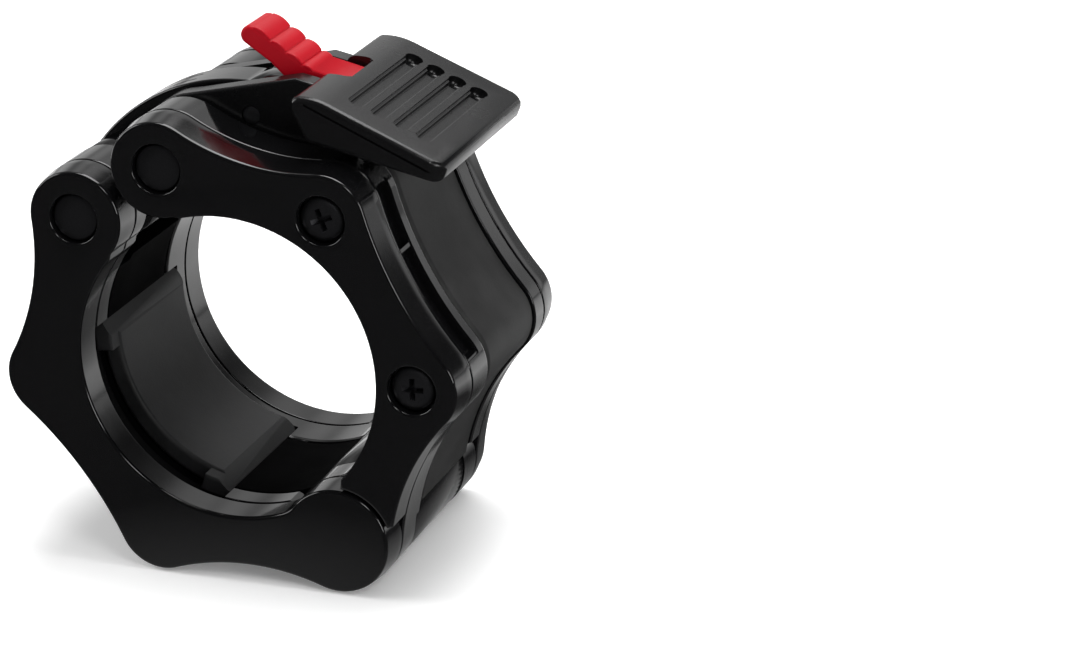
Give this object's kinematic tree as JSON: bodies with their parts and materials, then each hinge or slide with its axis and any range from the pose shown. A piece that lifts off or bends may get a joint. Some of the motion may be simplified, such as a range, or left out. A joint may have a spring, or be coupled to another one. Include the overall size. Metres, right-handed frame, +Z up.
{
  "type": "barbell collar",
  "caption": "Hinged clamp collar for a weight bar, with rubber-lined half-ring jaws, a toggle lever with a thumb paddle and a red release tab.",
  "frame": {"origin": "on the table under the middle of the collar's width and depth", "axes": "+Z up; +Y runs through the bore from the front face, which carries the screw heads of the right jaw, to the rear; +X to the right of the front view, where the paddle lies"},
  "size_m": [0.0822, 0.05, 0.0919],
  "materials": {
    "gloss_black_plastic": "glossy moulded",
    "satin_black_plastic": "satin moulded",
    "black_rubber": "matte",
    "black_steel": "black coated, satin",
    "bright_steel": "ground",
    "red_plastic": "satin moulded"
  },
  "bodies": {
    "left_jaw": {"left_rear_cover": "gloss_black_plastic", "left_rear_shell": "gloss_black_plastic", "left_core": "gloss_black_plastic", "left_grip": "black_rubber", "left_pad": "black_rubber", "left_front_shell": "gloss_black_plastic", "left_front_cover": "gloss_black_plastic", "left_screw_lower": "black_steel", "left_screw_upper": "black_steel", "hinge_pin": "bright_steel", "hinge_sleeve": "gloss_black_plastic", "link_pin": "black_steel"},
    "right_jaw": {"right_front_cover": "gloss_black_plastic", "right_front_shell": "gloss_black_plastic", "right_core": "gloss_black_plastic", "right_grip": "black_rubber", "right_pad": "black_rubber", "right_rear_shell": "gloss_black_plastic", "right_rear_cover": "gloss_black_plastic", "right_screw_lower": "black_steel", "right_screw_upper": "black_steel", "lever_pin": "black_steel", "release_bar": "bright_steel"},
    "lever": {"lever": "satin_black_plastic", "toggle_pin": "bright_steel", "tab_pin": "bright_steel", "tab_spring": "bright_steel"},
    "link": {"link": "gloss_black_plastic"},
    "tab": {"release_tab": "red_plastic"}
  },
  "joints": [
    {"name": "jaw_hinge", "type": "hinge", "parent": "left_jaw", "child": "right_jaw", "pos_m": [0.01862, 0, 0.00948], "axis": [0, 1, 0], "range_deg": [0, 3]},
    {"name": "lever_pivot", "type": "hinge", "parent": "right_jaw", "child": "lever", "pos_m": [-0.01109, 0, 0.07228], "axis": [0, -1, 0], "range_deg": [0, 62]},
    {"name": "link_pivot", "type": "hinge", "parent": "left_jaw", "child": "link", "pos_m": [-0.0266, 0, 0.06222], "axis": [0, -1, 0], "range_deg": [0, 18.7]},
    {"name": "tab_pivot", "type": "hinge", "parent": "lever", "child": "tab", "pos_m": [0.00821, 0, 0.08198], "axis": [0, -1, 0], "range_deg": [0, 12], "stiffness_Nm_per_rad": 0.05, "springref_deg": -14.32}
  ],
  "couplings": [
    {"joint": "jaw_hinge", "follows": "lever_pivot", "ratio": 0.0475},
    {"joint": "link_pivot", "follows": "lever_pivot", "ratio": 0.3}
  ]
}
